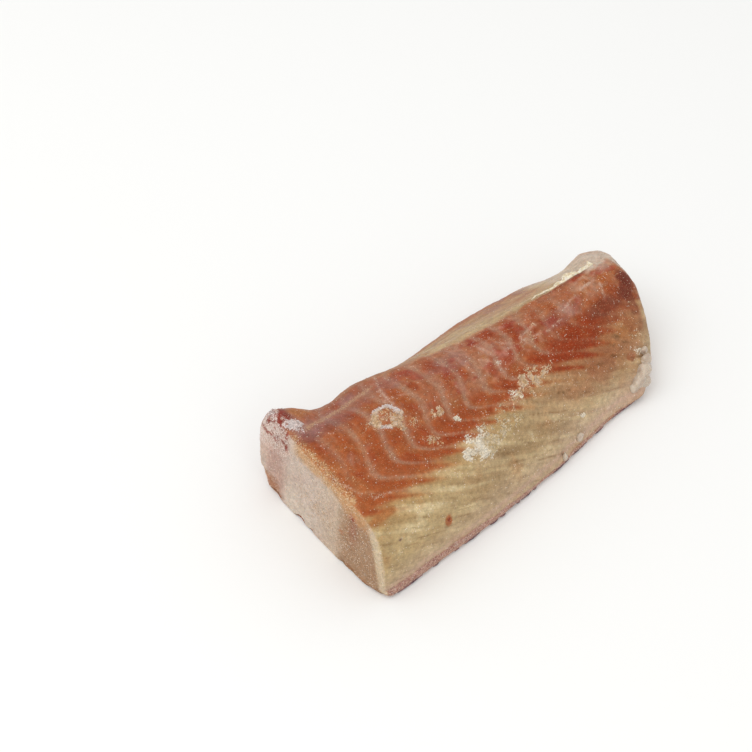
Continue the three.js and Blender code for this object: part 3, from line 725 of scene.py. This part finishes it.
def store(mesh, name, values, kind="FLOAT"):
    """Keeps a number, a vector or a colour for every vertex."""
    field = {"FLOAT": "value", "FLOAT_VECTOR": "vector", "FLOAT_COLOR": "color"}[kind]
    mesh.attributes.new(name, kind, "POINT").data.foreach_set(field, np.ravel(values))


def with_alpha(colours, alpha=1.0):
    return np.concatenate([colours, np.full((len(colours), 1), 1.0) * np.reshape(alpha, (-1, 1))], 1)


def modified(mesh, name, *modifiers):
    """A new mesh that the modifiers make of this one: (kind, settings) for each."""
    rough_cast = add_object("rough_cast", mesh)
    for kind, settings in modifiers:
        modifier = rough_cast.modifiers.new(kind, kind)
        for key, value in settings.items():
            setattr(modifier, key, value)
    ready = rough_cast.evaluated_get(bpy.context.evaluated_depsgraph_get())
    made = bpy.data.meshes.new_from_object(ready)
    made.name = name
    bpy.data.objects.remove(rough_cast)
    bpy.data.meshes.remove(mesh)
    return made


def fused(mesh, cell):
    """Overlapping lumps as one smooth skin."""
    return modified(mesh, "fused", ("REMESH", {"mode": "VOXEL", "voxel_size": cell}),
                    ("SMOOTH", {"factor": 0.5, "iterations": 2}))


def fine_copy_of_the_solid():
    """The solid's mesh, merged into quads and smoothly subdivided twice."""
    shape = bmesh.new()
    shape.from_mesh(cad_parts["loin"].data)
    bmesh.ops.remove_doubles(shape, verts=shape.verts, dist=0.001 * MM)
    bmesh.ops.join_triangles(
        shape, faces=shape.faces,
        angle_face_threshold=math.radians(60), angle_shape_threshold=math.radians(60))
    return modified(
        mesh_of(shape, "merged_solid"), "loin_flesh", ("SUBSURF", {"levels": 2, "render_levels": 2}))


def relief(f, sizes):
    """Height of the fine detail, in millimetres."""
    grain = rough(f.p, 1.6, 151, 2)
    height = sizes.uneven / MM * rough(f.p, 3.2, 152) + sizes.grain / MM * grain
    height = height + sizes.frost_crust / MM * f.frost * (0.5 + 0.8 * rough(f.p, 2.2, 154, 2))
    height = height + 0.25 * f.rim * (0.4 + grain) - sizes.septum_depth / MM * f.sheets
    fibres = f.thin_lines + rise(f.streak, 0.1, 0.6) * rise(-f.across, -6, 0)
    height = height - sizes.fibre_depth / MM * fibres
    height = height + 0.22 * f.layer * rough(f.p, (3, 3, 1.4), 153)
    ridge = bell((f.y - along(RIDGE_LINE, f.x)) / 3.5)
    height = height + sizes.knobs / MM * (ridge + rise(f.x, 126, 132)) * rough(f.p, 4.2, 155)
    foot = rise(f.from_cut, 2.2, 0.6) * rise(f.z, 2.8, 0.3)
    chips = sizes.chips / MM * foot * rise(rough(f.p, 5.5, 156, 2), -0.12, 0.32)
    return height * rise(f.z, 0.2, 1.2) - chips


# ---- materials -------------------------------------------------------------------------------

class Nodes:
    """Builds a material's nodes."""

    def __init__(self, name):
        self.material = bpy.data.materials.new(name)
        self.material.use_nodes = True
        self.tree = self.material.node_tree
        self.tree.nodes.clear()
        self.output = self.tree.nodes.new("ShaderNodeOutputMaterial")

    def add(self, kind, **values):
        node = self.tree.nodes.new(kind)
        for key, value in values.items():
            setattr(node, key, value)
        return node

    def link(self, source, target):
        self.tree.links.new(source, target)

    def put(self, socket, value):
        if isinstance(value, bpy.types.NodeSocket):
            self.link(value, socket)
        else:
            socket.default_value = value

    def place(self):
        return self.add("ShaderNodeTexCoord").outputs["Object"]

    def attribute(self, name, output="Fac"):
        return self.add("ShaderNodeAttribute", attribute_name=name).outputs[output]

    def noise(self, size, detail=2.0, roughness=0.6, where=None):
        node = self.add("ShaderNodeTexNoise")
        self.put(node.inputs["Vector"], where or self.place())
        node.inputs["Scale"].default_value = 1 / size
        node.inputs["Detail"].default_value = detail
        node.inputs["Roughness"].default_value = roughness
        return node.outputs["Fac"]

    def cells(self, size):
        node = self.add("ShaderNodeTexVoronoi", feature="F1")
        self.put(node.inputs["Vector"], self.place())
        node.inputs["Scale"].default_value = 1 / size
        return node.outputs["Distance"], node.outputs["Color"]

    def spread(self, value, low, high, to_low=0.0, to_high=1.0):
        node = self.add("ShaderNodeMapRange", interpolation_type="SMOOTHSTEP")
        self.put(node.inputs["Value"], value)
        ends = {"From Min": low, "From Max": high, "To Min": to_low, "To Max": to_high}
        for key, number in ends.items():
            self.put(node.inputs[key], number)
        return node.outputs["Result"]

    def math(self, operation, a, b=0.0):
        node = self.add("ShaderNodeMath", operation=operation)
        self.put(node.inputs[0], a)
        self.put(node.inputs[1], b)
        return node.outputs[0]

    def mix(self, amount, a, b, kind="MIX"):
        node = self.add("ShaderNodeMix", data_type="RGBA", blend_type=kind)
        self.put(node.inputs[0], amount)
        for socket, value in ((node.inputs[6], a), (node.inputs[7], b)):
            self.put(socket, value)
        return node.outputs[2]

    def bump(self, height, distance, strength=1.0):
        node = self.add("ShaderNodeBump")
        self.put(node.inputs["Height"], height)
        node.inputs["Distance"].default_value = distance
        node.inputs["Strength"].default_value = strength
        return node.outputs["Normal"]

    def shader(self, **values):
        node = self.add("ShaderNodeBsdfPrincipled")
        for key, value in values.items():
            self.put(node.inputs[key.replace("_", " ")], value)
        self.link(node.outputs[0], self.output.inputs["Surface"])
        return self.material


def light_of(colour):
    return (*as_light(np.array(colour)), 1.0)


def frozen_flesh(t):
    """The painted flesh with its fine fibres, a grain of frost and painted glints: sparse white specks
    in its colour that stand in for highlights.
    """
    n = Nodes("frozen_flesh")
    frost = n.attribute("frost")
    fine = n.noise(0.40 * MM, 2)
    fibres = n.noise(0.7 * MM, 2, where=n.attribute("fibre", "Vector"))
    shades = (n.spread(fine, 0.25, 0.75, 0.88, 1.12), n.spread(fibres, 0.3, 0.7, 0.95, 1.05),
              n.spread(n.noise(1.5 * MM, 3), 0.3, 0.7, 0.87, 1.12))
    shade = n.math("MULTIPLY", n.math("MULTIPLY", shades[0], shades[1]), shades[2])
    grey = n.add("ShaderNodeCombineColor")
    for socket in grey.inputs[:3]:
        n.put(socket, shade)
    colour = n.mix(1.0, n.attribute("paint", "Color"), grey.outputs[0], "MULTIPLY")
    dust = n.math("MULTIPLY", n.attribute("dust", "Alpha"), 0.5)
    grains = n.spread(n.math("ADD", n.noise(0.42 * MM, 3, 0.7), dust), 0.68, 0.75)
    colour = n.mix(n.math("MULTIPLY", grains, 0.9), colour, n.attribute("dust", "Color"))
    # Painted glints: white specks in sparse cells, more where the sparkle attribute is high, mixed into
    # the base colour as painted highlights.
    near, pick = n.cells(0.5 * MM)
    chance = n.add("ShaderNodeSeparateColor")
    n.link(pick, chance.inputs[0])
    uneven = n.spread(n.noise(4 * MM), 0.35, 0.7, -0.05, 0.05)
    crowd = n.math("ADD", n.math("MULTIPLY", n.attribute("sparkle"), 0.13), uneven)
    chosen = n.spread(n.math("ADD", chance.outputs[0], crowd), 0.93, 1.0)
    painted_glint = n.math("MULTIPLY", chosen, n.spread(near, 0.40, 0.12))
    colour = n.mix(n.math("MULTIPLY", painted_glint, 0.8), colour, light_of(t.crystal))
    rough_value = n.math("ADD", n.spread(fine, 0.3, 0.7, 0.42, 0.58), n.math("MULTIPLY", frost, 0.3))
    height = n.math("ADD", n.math("MULTIPLY", fine, 0.4), n.math("MULTIPLY", grains, 0.5))
    height = n.math("ADD", height, n.math("MULTIPLY", fibres, 0.10))
    return n.shader(
        Base_Color=colour, Roughness=rough_value, IOR=1.33, Specular_IOR_Level=0.2,
        Subsurface_Weight=0.10, Subsurface_Radius=(1.0, 0.45, 0.25), Subsurface_Scale=0.6 * MM,
        Normal=n.bump(height, 0.10 * MM, 0.8))


def frost_crystal():
    n = Nodes("frost_crystal")
    white = n.spread(n.noise(1.2 * MM, 2), 0.35, 0.65, 0.0, 0.25)
    colour = n.mix(white, n.attribute("paint", "Color"), (1, 1, 1, 1))
    return n.shader(Base_Color=colour, Roughness=0.35, IOR=1.31, Specular_IOR_Level=0.4)


def cloudy_ice(t):
    n = Nodes("cloudy_ice")
    cloud = n.noise(1.8 * MM, 3)
    return n.shader(
        Base_Color=n.mix(n.spread(cloud, 0.4, 0.65), light_of(t.ice), light_of(t.pale_rim)),
        Roughness=n.spread(cloud, 0.3, 0.7, 0.16, 0.38), IOR=1.31, Transmission_Weight=0.25,
        Subsurface_Weight=0.4, Subsurface_Radius=(1.0, 0.85, 0.8), Subsurface_Scale=1.2 * MM,
        Normal=n.bump(n.noise(0.9 * MM, 3), 0.12 * MM, 0.6))


# Painted shade: the dark colour of the shreds along the foot stands in for the shade there.
def painted_foot_shade(t):
    n = Nodes("painted_foot_shade")
    colour = n.mix(n.spread(n.noise(1.1 * MM, 2), 0.35, 0.65), light_of(t.dark_spots_and_foot_shade), light_of(t.mauve))
    return n.shader(
        Base_Color=colour, Roughness=0.38, IOR=1.36,
        Subsurface_Weight=0.1, Subsurface_Radius=(1.0, 0.4, 0.4), Subsurface_Scale=0.5 * MM)


def pale_membrane(t):
    n = Nodes("pale_membrane")
    colour = n.mix(n.spread(n.noise(0.9 * MM, 2), 0.35, 0.65), light_of(t.membrane), light_of(t.frost))
    return n.shader(
        Base_Color=colour, Roughness=0.42, IOR=1.36, Specular_IOR_Level=0.35,
        Subsurface_Weight=0.3, Subsurface_Radius=(1.0, 0.7, 0.4), Subsurface_Scale=0.6 * MM)


def pale_floor(colour):
    n = Nodes("pale_floor")
    return n.shader(Base_Color=light_of(colour), Roughness=0.9)


# ---- operators -------------------------------------------------------------------------------

class SAITHE_OT_flesh(bpy.types.Operator):
    """Makes the loin's flesh from a finer copy of the solid, with its relief and its colours"""
    bl_idname = "saithe.flesh"
    bl_label = "Flesh"

    def execute(self, context):
        mesh = fine_copy_of_the_solid()
        points, normals = places_of(mesh), normals_of(mesh)
        surface = Surface(to_loin(points), normals)
        colours = loin_colours(surface, context.scene.saithe_tones)
        height = relief(surface, context.scene.saithe_sizes)
        move_points(mesh, points + normals * height[:, None] * MM)
        # sparkle: how thick the painted glints lie, and a little more chance of loose crystals there
        sparkle = np.maximum(np.maximum(surface.on_cut, surface.rim), 0.28 + 0.6 * surface.layer)
        store(mesh, "paint", with_alpha(as_flesh(colours)), "FLOAT_COLOR")
        store(mesh, "dust", with_alpha(as_flesh(surface.dust_tone), surface.dust), "FLOAT_COLOR")
        fibre = np.where(surface.on_cut[:, None] > 0.5, surface.p, surface.fibre)
        store(mesh, "fibre", fibre * MM, "FLOAT_VECTOR")
        store(mesh, "frost", surface.frost)
        store(mesh, "sparkle", sparkle)
        piece = finish_piece(add_object("loin_flesh", mesh), frozen_flesh(context.scene.saithe_tones))
        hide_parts("loin")
        return {"FINISHED"}


def stored(mesh, name):
    """A number that is kept for every vertex."""
    return rows_of(mesh.attributes[name].data, "value", 1)[:, 0]


def crystal_chance(mesh):
    """How likely each vertex of the flesh is to carry a loose crystal."""
    frost, sparkle = stored(mesh, "frost"), stored(mesh, "sparkle")
    p = to_loin(places_of(mesh))
    chance = rise(frost, 0.12, 0.95) ** 1.3 + 0.03 * rise(sparkle, 0.5, 0.9) + 0.0015
    return chance * (p[:, 2] > 1.0)


CRYSTAL_STRETCH = ((0.4, 0.9), (0.5, 1.1), (0.8, 2.4))   # least and most, each way
PLACE_SEED = 7                   # of the crystals' places and shades
TURN_SEED = 11                   # of their sizes and turns


class SAITHE_OT_frost(bpy.types.Operator):
    """Scatters loose frost crystals over the frost patches, the saw cut and its rim"""
    bl_idname = "saithe.frost"
    bl_label = "Frost crystals"

    def execute(self, context):
        sizes = context.scene.saithe_sizes
        flesh = bpy.data.objects["loin_flesh"].data
        chance = crystal_chance(flesh)
        draw = np.random.default_rng(PLACE_SEED)
        chosen = draw.choice(len(chance), size=sizes.crystals, p=chance / chance.sum())
        block = bmesh.new()
        bmesh.ops.create_cube(block, size=1.6)
        one = mesh_of(block, "one_crystal")
        body = places_of(one)
        points, normals, frost = places_of(flesh), normals_of(flesh), stored(flesh, "frost")
        dust = rows_of(flesh.attributes["dust"].data, "color", 4)
        heap = bmesh.new()
        turner = random.Random(TURN_SEED)
        for number in chosen:
            size = sizes.crystal * turner.uniform(0.5, 1.4) * (0.6 + 0.4 * min(1, frost[number] * 2))
            axis = Vector([turner.uniform(-1, 1) for _ in range(3)]).normalized()
            turn = Matrix.Rotation(turner.uniform(0, math.tau), 3, axis)
            stretch = Matrix.Diagonal([turner.uniform(*span) for span in CRYSTAL_STRETCH])
            grown = body @ np.array(turn @ stretch).T * size
            aside = np.cross(normals[number], np.array(axis)) * turner.uniform(0, 0.5) * MM
            lift = normals[number] * size * turner.uniform(0.1, 0.9)
            one.vertices.foreach_set("co", keep_in_box(grown + points[number] + aside + lift).ravel())
            heap.from_mesh(one)
        mesh = mesh_of(heap, "frost_crystals")
        bpy.data.meshes.remove(one)
        shade = draw.uniform(0.6, 1.2, (len(chosen), 1))
        tones = with_alpha(np.clip(dust[chosen, :3] * shade, 0, 1))
        store(mesh, "paint", np.repeat(tones, len(body), axis=0), "FLOAT_COLOR")
        finish_piece(add_object("frost_crystals", mesh), frost_crystal(), smooth=False)
        return {"FINISHED"}


# Lumps of ice: (x, y, z), radii, and how uneven.
ICE_LUMPS = [
    ((108.6, -0.6, 5.6), (2.0, 1.5, 1.8), 0.3), ((110.6, -0.6, 7.0), (2.8, 1.9, 2.8), 0.3),
    ((113.0, -0.6, 5.2), (3.0, 2.0, 2.6), 0.3), ((113.4, -0.2, 9.4), (2.6, 1.8, 2.8), 0.3),
    ((115.4, 0.8, 7.6), (2.4, 1.8, 2.8), 0.3), ((115.8, 1.2, 11.2), (1.8, 1.4, 2.6), 0.3),
    ((117.2, 3.4, 13.2), (1.2, 1.0, 1.8), 0.3), ((81.1, -1.6, 5.1), (1.4, 0.9, 1.7), 0.15),
]
ICE_SPIKE = ((73.6, -2.3, 2.2), (72.0, -3.0, 6.6), 1.1)   # foot, tip, radius at the foot


class SAITHE_OT_ice(bpy.types.Operator):
    """Freezes lumps of ice on to the far end and a drop and a spike on to the back face"""
    bl_idname = "saithe.ice"
    bl_label = "Ice"

    def execute(self, context):
        heap = bmesh.new()
        for number, (centre, radii, uneven) in enumerate(ICE_LUMPS):
            made = bmesh.ops.create_icosphere(heap, subdivisions=4, radius=1)["verts"]
            body = np.array([v.co for v in made])
            out = 1 + uneven * rough(body + number * 7, 0.8, 161 + number)
            move_vertices(made, body * out[:, None] * np.array(radii) + np.array(centre))
        foot, tip, radius = (Vector(ICE_SPIKE[0]), Vector(ICE_SPIKE[1]), ICE_SPIKE[2])
        stand = (tip - foot).to_track_quat("Z", "Y").to_matrix().to_4x4()
        spike = bmesh.ops.create_cone(
            heap, cap_ends=True, segments=16, radius1=radius, radius2=radius * 0.15,
            depth=(tip - foot).length, matrix=Matrix.Translation((foot + tip) / 2) @ stand)["verts"]
        move_vertices(spike, [v.co for v in spike])
        ice = fused(mesh_of(heap, "ice_lumps"), 0.25 * MM)
        points = places_of(ice)
        bumps = 0.22 * rough(to_loin(points), 1.3, 165) * MM
        move_points(ice, points + normals_of(ice) * bumps[:, None])
        finish_piece(add_object("ice", ice), cloudy_ice(context.scene.saithe_tones))
        return {"FINISHED"}


def surface_at(tree, place, way):
    """Where a ray from a place meets the flesh, both in millimetres from the foot."""
    return to_loin(tree.ray_cast(Vector(from_loin(place)), Vector(way))[0])


def ribbon(shape, inner, outer):
    """A thin strip between two rows of places, given in millimetres from the foot."""
    rows = [[shape.verts.new(keep_in_box(from_loin(place))) for place in row] for row in (inner, outer)]
    edges = [shape.edges.new(pair) for row in rows for pair in zip(row[:-1], row[1:])]
    bmesh.ops.bridge_loops(shape, edges=edges)


def finish_ribbons(shape, name, thickness, material):
    """Gives ribbons their thickness and makes them a piece."""
    bmesh.ops.recalc_face_normals(shape, faces=shape.faces)
    made = modified(
        mesh_of(shape, name), name, ("SOLIDIFY", {"thickness": thickness * MM, "offset": 0}),
        ("SUBSURF", {"levels": 1, "render_levels": 1}))
    move_points(made, places_of(made))
    finish_piece(add_object(name, made), material)


FOLD_SPAN = (98.6, 124.5)        # where the fold of membrane starts and ends, along
FOLD_STEP = 0.4
SHREDS_SPAN = (3, 104)           # and the dark shreds
SHRED_LENGTHS = (1.6, 2.4, 4.0, 7.0, 11.0)
SHRED_GAPS = (0.5, 1.5, 4.0, 8.0)
SHRED_STEPS = 8                  # along each shred
SHRED_SEED = 5


def ruffled_fold(tree):
    """One wavy ribbon that stands along the fold line."""
    x = np.arange(*FOLD_SPAN, FOLD_STEP)
    ruffle = rough(np.stack([x, 0 * x, 0 * x], 1), 2.6, 171, 2)
    y = along(FOLD_LINE, x) + 0.7 * ruffle
    inner, outer = [], []
    for place_x, place_y, wave in zip(x, y, ruffle):
        height = surface_at(tree, (place_x, place_y, 40), (0, 0, -1))[2]
        width = (0.55 + 1.10 * ease((place_x - 102) / 14)) * (1 + 0.9 * wave)
        inner.append((place_x, place_y - width / 2, height + 0.30 + 0.45 * wave))
        outer.append((place_x + 0.3 * wave, place_y + width, height - 0.10))
    shape = bmesh.new()
    ribbon(shape, inner, outer)
    return shape


def shreds_along_the_foot(tree):
    """A row of shreds, each bulging out in its middle."""
    shape = bmesh.new()
    turner = random.Random(SHRED_SEED)
    start, end = SHREDS_SPAN
    while start < end:
        reach = turner.choice(SHRED_LENGTHS) * turner.uniform(0.8, 1.2)
        base = turner.uniform(0.25, 0.7)
        inner, outer = [], []
        for k in range(SHRED_STEPS + 1):
            x = start + reach * k / SHRED_STEPS
            foot_y = surface_at(tree, (x, -20, base + 0.3), (0, 1, 0))[1]
            bulge = math.sin(math.pi * k / SHRED_STEPS)
            out = 0.06 + 0.26 * bulge * turner.uniform(0.5, 1.3)
            inner.append((x, foot_y + 0.2, base + 0.35 * bulge))
            outer.append((x, foot_y - out, base - 0.15))
        ribbon(shape, inner, outer)
        start += reach + turner.choice(SHRED_GAPS) * turner.uniform(0.7, 1.3)
    return shape


class SAITHE_OT_membranes(bpy.types.Operator):
    """Lays a ruffled fold of pale membrane along the ridge and shreds along the foot, dark with painted
    shade
    """
    bl_idname = "saithe.membranes"
    bl_label = "Membranes"

    def execute(self, context):
        tones = context.scene.saithe_tones
        tree = BVHTree.FromObject(
            bpy.data.objects["loin_flesh"], bpy.context.evaluated_depsgraph_get())
        finish_ribbons(ruffled_fold(tree), "membrane_fold", 0.28, pale_membrane(tones))
        finish_ribbons(shreds_along_the_foot(tree), "foot_shade_shreds", 0.16, painted_foot_shade(tones))
        return {"FINISHED"}


FLOOR_HALF = 3.0                 # half the floor's width, in metres
FLOOR_DROP = 0.0002              # how far it lies below the loin, in metres
KEY_PLACE = (-0.45, 0.15, 0.80)
KEY_SIZE = 0.7
FILL_PLACE = (-0.35, -0.70, 0.45)
FILL_SIZE = 0.6
LOOK_AT = Vector((58.3, 63.8, 0))   # the point on the floor in the middle of the picture


class SAITHE_OT_stage(bpy.types.Operator):
    """Lays the floor and sets the soft light and the camera"""
    bl_idname = "saithe.stage"
    bl_label = "Stage"

    def execute(self, context):
        settings = context.scene.saithe_stage
        shape = bmesh.new()
        bmesh.ops.create_grid(shape, x_segments=1, y_segments=1, size=FLOOR_HALF)
        bmesh.ops.translate(shape, verts=shape.verts, vec=(0, 0, -FLOOR_DROP))
        floor = add_object("floor", mesh_of(shape, "floor"))
        floor.data.materials.append(pale_floor(settings.floor))
        world = bpy.data.worlds.new("even_light")
        world.use_nodes = True
        background = world.node_tree.nodes["Background"]
        background.inputs["Color"].default_value = (1, 1, 1, 1)
        background.inputs["Strength"].default_value = settings.sky
        context.scene.world = world
        soft_light("key_light", settings.key, KEY_SIZE, KEY_PLACE)
        soft_light("fill_light", settings.fill, FILL_SIZE, FILL_PLACE)
        context.scene.view_settings.view_transform = "Standard"
        place_camera(context.scene, settings)
        return {"FINISHED"}


def soft_light(name, power, size, place):
    """A square light that faces the loin."""
    lamp = bpy.data.lights.new(name, "AREA")
    lamp.energy = power
    lamp.size = size
    light = bpy.data.objects.new(name, lamp)
    light.location = place
    light.rotation_euler = (-Vector(place)).to_track_quat("-Z", "Y").to_euler()
    bpy.context.scene.collection.objects.link(light)


def place_camera(scene, settings):
    flat = math.cos(settings.elevation) * settings.distance
    target = FOOT + LOOK_AT * MM
    away = Vector((
        -math.sin(settings.azimuth) * flat, -math.cos(settings.azimuth) * flat,
        math.sin(settings.elevation) * settings.distance))
    lens = bpy.data.cameras.new("camera")
    lens.lens = settings.lens
    lens.sensor_width = 36
    lens.clip_start = 0.01
    camera = bpy.data.objects.new("camera", lens)
    camera.location = target + away
    camera.rotation_euler = (-away).to_track_quat("-Z", "Y").to_euler()
    scene.collection.objects.link(camera)
    scene.camera = camera


class SAITHE_PT_panel(bpy.types.Panel):
    """Lists the loin's pieces"""
    bl_idname = "SAITHE_PT_panel"
    bl_label = "Saithe loin"
    bl_space_type = "VIEW_3D"
    bl_region_type = "UI"
    bl_category = "Saithe loin"

    def draw(self, context):
        for operator in OPERATORS:
            self.layout.operator(operator.bl_idname)
        for name in GROUPS:
            group = getattr(context.scene, name)
            box = self.layout.box()
            for setting in group.__annotations__:
                box.prop(group, setting)


GROUPS = {"saithe_sizes": LoinSizes, "saithe_tones": LoinTones, "saithe_stage": StageSettings}
OPERATORS = (SAITHE_OT_flesh, SAITHE_OT_frost, SAITHE_OT_ice, SAITHE_OT_membranes, SAITHE_OT_stage)


def register():
    for cls in (*GROUPS.values(), *OPERATORS, SAITHE_PT_panel):
        bpy.utils.register_class(cls)
    for name, group in GROUPS.items():
        setattr(bpy.types.Scene, name, PointerProperty(type=group))


def unregister():
    for name in GROUPS:
        delattr(bpy.types.Scene, name)
    for cls in (SAITHE_PT_panel, *reversed(OPERATORS), *reversed(list(GROUPS.values()))):
        bpy.utils.unregister_class(cls)


def main():
    register()
    bpy.ops.saithe.flesh()
    bpy.ops.saithe.frost()
    bpy.ops.saithe.ice()
    bpy.ops.saithe.membranes()
    bpy.ops.saithe.stage()


if __name__ == "__main__":
    main()
